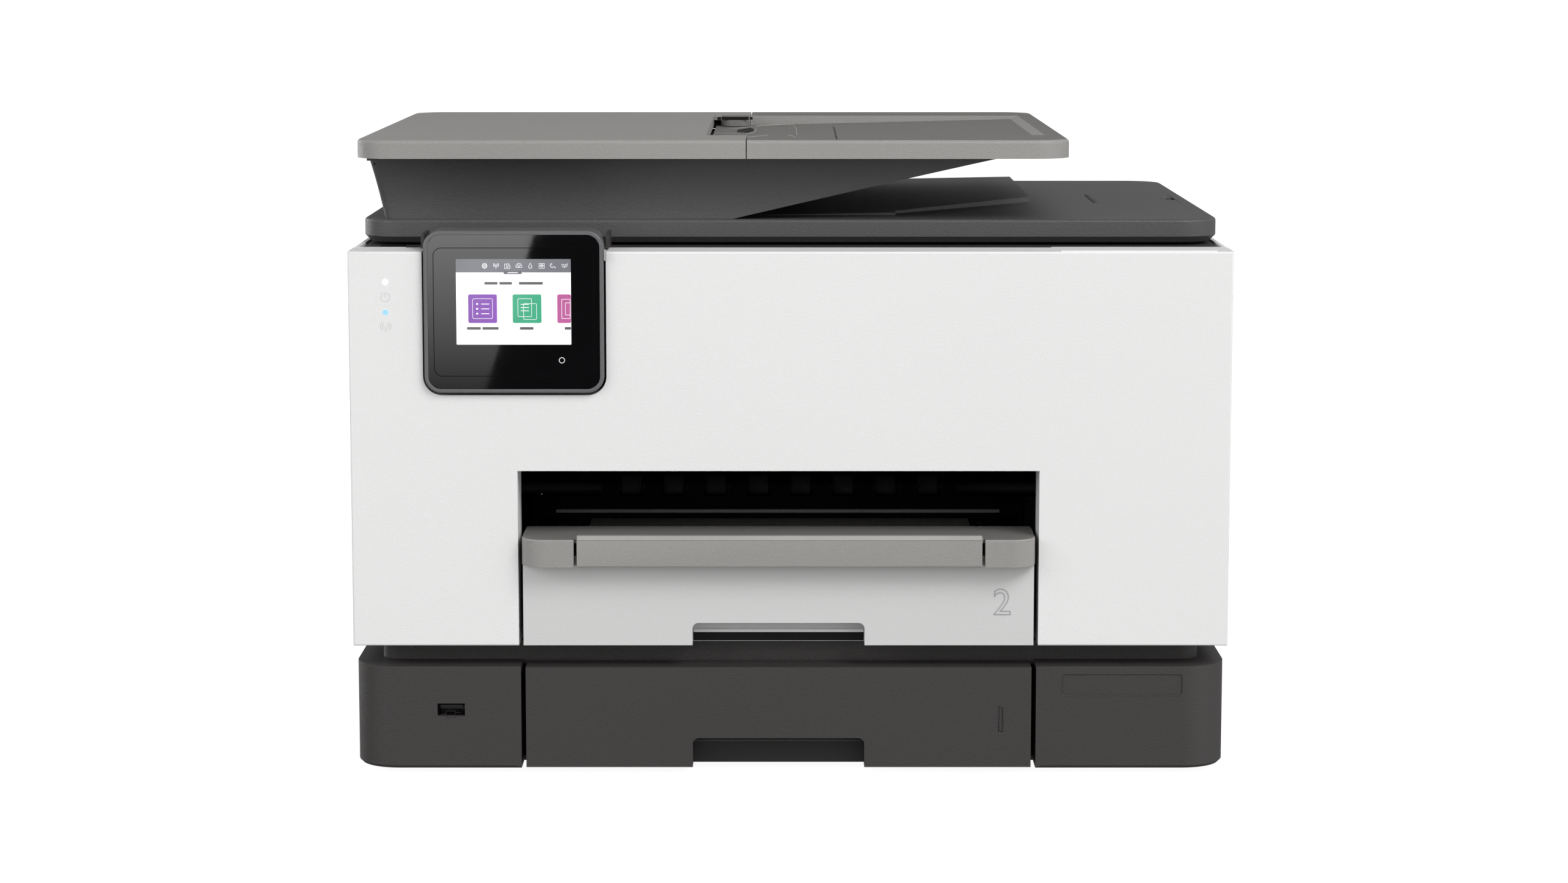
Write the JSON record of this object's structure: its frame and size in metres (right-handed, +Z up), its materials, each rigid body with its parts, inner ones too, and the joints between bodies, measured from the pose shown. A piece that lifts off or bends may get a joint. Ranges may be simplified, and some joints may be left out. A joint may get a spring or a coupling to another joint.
{
  "type": "inkjet printer",
  "caption": "Desktop all-in-one inkjet printer with paper trays, a tilting touch panel, a drop-down front cover, a flatbed scanner and a document feeder.",
  "frame": {"origin": "on the floor, at the middle of the footprint", "axes": "+X to the right seen from the front, +Y to the back, +Z up"},
  "size_m": [0.437, 0.396, 0.3165],
  "materials": {
    "charcoal": "dark grey moulded plastic with an embossed leather-like grain",
    "white": "white moulded plastic with an embossed leather-like grain",
    "taupe": "warm mid-grey moulded plastic with an embossed grain",
    "grey_plastic": "smooth mid-grey moulded plastic",
    "black_plastic": "black moulded plastic, satin",
    "black_gloss": "black printed cover glass, glossy",
    "display": "lit colour display",
    "lens": "clear light pipe",
    "clear_glass": "clear flat glass",
    "steel": "ground steel",
    "sheet_metal": "zinc-plated sheet",
    "rubber": "black rubber",
    "roller": "dark grey rubber on a shaft, ground",
    "foam": "white foam with a smooth skin",
    "circuit_board": "green solder mask",
    "ink": "dark cartridge shells with coloured tabs"
  },
  "bodies": {
    "chassis": {"base_housing": "charcoal", "rubber_feet": "rubber", "front_usb_port": "steel", "inner_frame": "black_plastic", "side_cover_left": "white", "side_cover_right": "white", "rear_cover": "white", "case_screws": "steel", "access_bezel": "black_plastic", "panel_bracket": "grey_plastic", "output_tray": "taupe", "output_rib_bar": "black_plastic", "platen": "black_plastic", "service_station": "grey_plastic", "guide_rods": "steel", "carriage_belt": "rubber", "drive_motors": "steel", "power_supply": "sheet_metal", "power_inlet": "black_plastic", "rear_ports": "black_plastic", "main_board": "circuit_board", "scanner_deck": "charcoal", "scanner_glass": "clear_glass", "hinge_brackets": "charcoal"},
    "front_door": {"front_door": "white", "door_liner": "grey_plastic", "door_hinge_pins": "steel", "led_lenses": "lens"},
    "touch_panel": {"panel_frame": "grey_plastic", "touch_glass": "black_gloss", "lcd_screen": "display"},
    "tray_1": {"tray_1": "charcoal"},
    "tray_1_guide_left": {"tray_1_guide_left": "grey_plastic"},
    "tray_1_guide_right": {"tray_1_guide_right": "grey_plastic"},
    "tray_1_length_guide": {"tray_1_length_guide": "grey_plastic"},
    "tray_2": {"tray_2": "white"},
    "tray_2_guide_left": {"tray_2_guide_left": "grey_plastic"},
    "tray_2_guide_right": {"tray_2_guide_right": "grey_plastic"},
    "tray_2_length_guide": {"tray_2_length_guide": "grey_plastic"},
    "extender": {"extender": "taupe"},
    "lid": {"scanner_lid": "charcoal", "lid_pad": "foam", "lid_hinge_arms": "charcoal", "adf_body": "charcoal", "adf_input_tray": "taupe"},
    "lid_paper_stop": {"lid_paper_stop": "charcoal"},
    "adf_cover": {"adf_cover": "taupe"},
    "adf_guide_front": {"adf_guide_front": "charcoal"},
    "adf_guide_rear": {"adf_guide_rear": "charcoal"},
    "adf_pick_roller": {"adf_pick_roller": "roller"},
    "adf_feed_roller": {"adf_feed_roller": "roller"},
    "scan_head": {"scan_head": "black_plastic"},
    "print_carriage": {"print_carriage": "black_plastic", "ink_cartridges": "ink"},
    "drive_pulley": {"drive_pulley": "steel"},
    "idler_pulley": {"idler_pulley": "black_plastic"},
    "output_roller": {"output_roller": "roller"},
    "feed_roller": {"feed_roller": "roller"},
    "power_button": {"power_button": "grey_plastic"},
    "rear_door": {"rear_door": "charcoal"}
  },
  "joints": [
    {"name": "front_door_hinge", "type": "hinge", "parent": "chassis", "child": "front_door", "pos_m": [-0.006, -0.173, 0.071], "axis": [1, 0, 0], "range_deg": [0, 42]},
    {"name": "touch_panel_tilt", "type": "hinge", "parent": "chassis", "child": "touch_panel", "pos_m": [-0.1365, -0.174, 0.267], "axis": [-1, 0, 0], "range_deg": [0, 45]},
    {"name": "tray_1_slide", "type": "slide", "parent": "chassis", "child": "tray_1", "axis": [0, -1, 0], "range_m": [0, 0.2]},
    {"name": "tray_1_width", "type": "slide", "parent": "tray_1", "child": "tray_1_guide_left", "axis": [1, 0, 0], "range_m": [0, 0.052]},
    {"name": "tray_1_width_right", "type": "slide", "parent": "tray_1", "child": "tray_1_guide_right", "axis": [1, 0, 0], "range_m": [-0.052, 0]},
    {"name": "tray_1_length", "type": "slide", "parent": "tray_1", "child": "tray_1_length_guide", "axis": [0, 1, 0], "range_m": [0, 0.13]},
    {"name": "tray_2_slide", "type": "slide", "parent": "chassis", "child": "tray_2", "axis": [0, -1, 0], "range_m": [0, 0.2]},
    {"name": "tray_2_width", "type": "slide", "parent": "tray_2", "child": "tray_2_guide_left", "axis": [1, 0, 0], "range_m": [0, 0.052]},
    {"name": "tray_2_width_right", "type": "slide", "parent": "tray_2", "child": "tray_2_guide_right", "axis": [1, 0, 0], "range_m": [-0.052, 0]},
    {"name": "tray_2_length", "type": "slide", "parent": "tray_2", "child": "tray_2_length_guide", "axis": [0, 1, 0], "range_m": [0, 0.13]},
    {"name": "extender_slide", "type": "slide", "parent": "chassis", "child": "extender", "axis": [0, -1, 0], "range_m": [0, 0.1]},
    {"name": "lid_hinge", "type": "hinge", "parent": "chassis", "child": "lid", "pos_m": [-0.006, 0.18, 0.268], "axis": [-1, 0, 0], "range_deg": [0, 75]},
    {"name": "lid_paper_stop_hinge", "type": "hinge", "parent": "lid", "child": "lid_paper_stop", "pos_m": [0.166, 0.0165, 0.2734], "axis": [0, -1, 0], "range_deg": [0, 95]},
    {"name": "adf_cover_hinge", "type": "hinge", "parent": "lid", "child": "adf_cover", "pos_m": [-0.213, 0.006, 0.3091], "axis": [0, -1, 0], "range_deg": [0, 60]},
    {"name": "adf_guide_slide", "type": "slide", "parent": "lid", "child": "adf_guide_front", "axis": [0, 1, 0], "range_m": [0, 0.05]},
    {"name": "adf_guide_rear_slide", "type": "slide", "parent": "lid", "child": "adf_guide_rear", "axis": [0, 1, 0], "range_m": [-0.05, 0]},
    {"name": "adf_pick_roller_spin", "type": "hinge", "parent": "lid", "child": "adf_pick_roller", "pos_m": [-0.0641, 0.006, 0.2985], "axis": [0, 1, 0], "continuous": true},
    {"name": "adf_feed_roller_spin", "type": "hinge", "parent": "lid", "child": "adf_feed_roller", "pos_m": [-0.1041, 0.006, 0.2985], "axis": [0, 1, 0], "continuous": true},
    {"name": "scan_head_slide", "type": "slide", "parent": "chassis", "child": "scan_head", "axis": [1, 0, 0], "range_m": [0, 0.31]},
    {"name": "carriage_slide", "type": "slide", "parent": "chassis", "child": "print_carriage", "axis": [-1, 0, 0], "range_m": [0, 0.3]},
    {"name": "drive_pulley_spin", "type": "hinge", "parent": "chassis", "child": "drive_pulley", "pos_m": [0.188, 0.016, 0.1913], "axis": [0, 1, 0], "range_deg": [-1, 2730.4]},
    {"name": "idler_pulley_spin", "type": "hinge", "parent": "chassis", "child": "idler_pulley", "pos_m": [-0.188, 0.016, 0.1913], "axis": [0, 1, 0], "range_deg": [-1, 2730.4]},
    {"name": "feed_roller_spin", "type": "hinge", "parent": "chassis", "child": "feed_roller", "pos_m": [0, -0.02, 0.1283], "axis": [1, 0, 0], "continuous": true},
    {"name": "output_roller_spin", "type": "hinge", "parent": "chassis", "child": "output_roller", "pos_m": [0, -0.072, 0.1283], "axis": [1, 0, 0], "continuous": true},
    {"name": "power_button_press", "type": "slide", "parent": "chassis", "child": "power_button", "axis": [0, 0, -1], "range_m": [0, 0.0006], "stiffness_N_per_m": 600},
    {"name": "rear_door_hinge", "type": "hinge", "parent": "chassis", "child": "rear_door", "pos_m": [0, 0.1955, 0.093], "axis": [-1, 0, 0], "range_deg": [0, 80]}
  ],
  "couplings": [
    {"joint": "tray_1_width_right", "follows": "tray_1_width", "ratio": -1},
    {"joint": "tray_2_width_right", "follows": "tray_2_width", "ratio": -1},
    {"joint": "adf_guide_rear_slide", "follows": "adf_guide_slide", "ratio": -1},
    {"joint": "adf_feed_roller_spin", "follows": "adf_pick_roller_spin", "ratio": 1},
    {"joint": "drive_pulley_spin", "follows": "carriage_slide", "rad_per_m": 158.73},
    {"joint": "idler_pulley_spin", "follows": "carriage_slide", "rad_per_m": 158.73},
    {"joint": "output_roller_spin", "follows": "feed_roller_spin", "ratio": 0.8571}
  ]
}
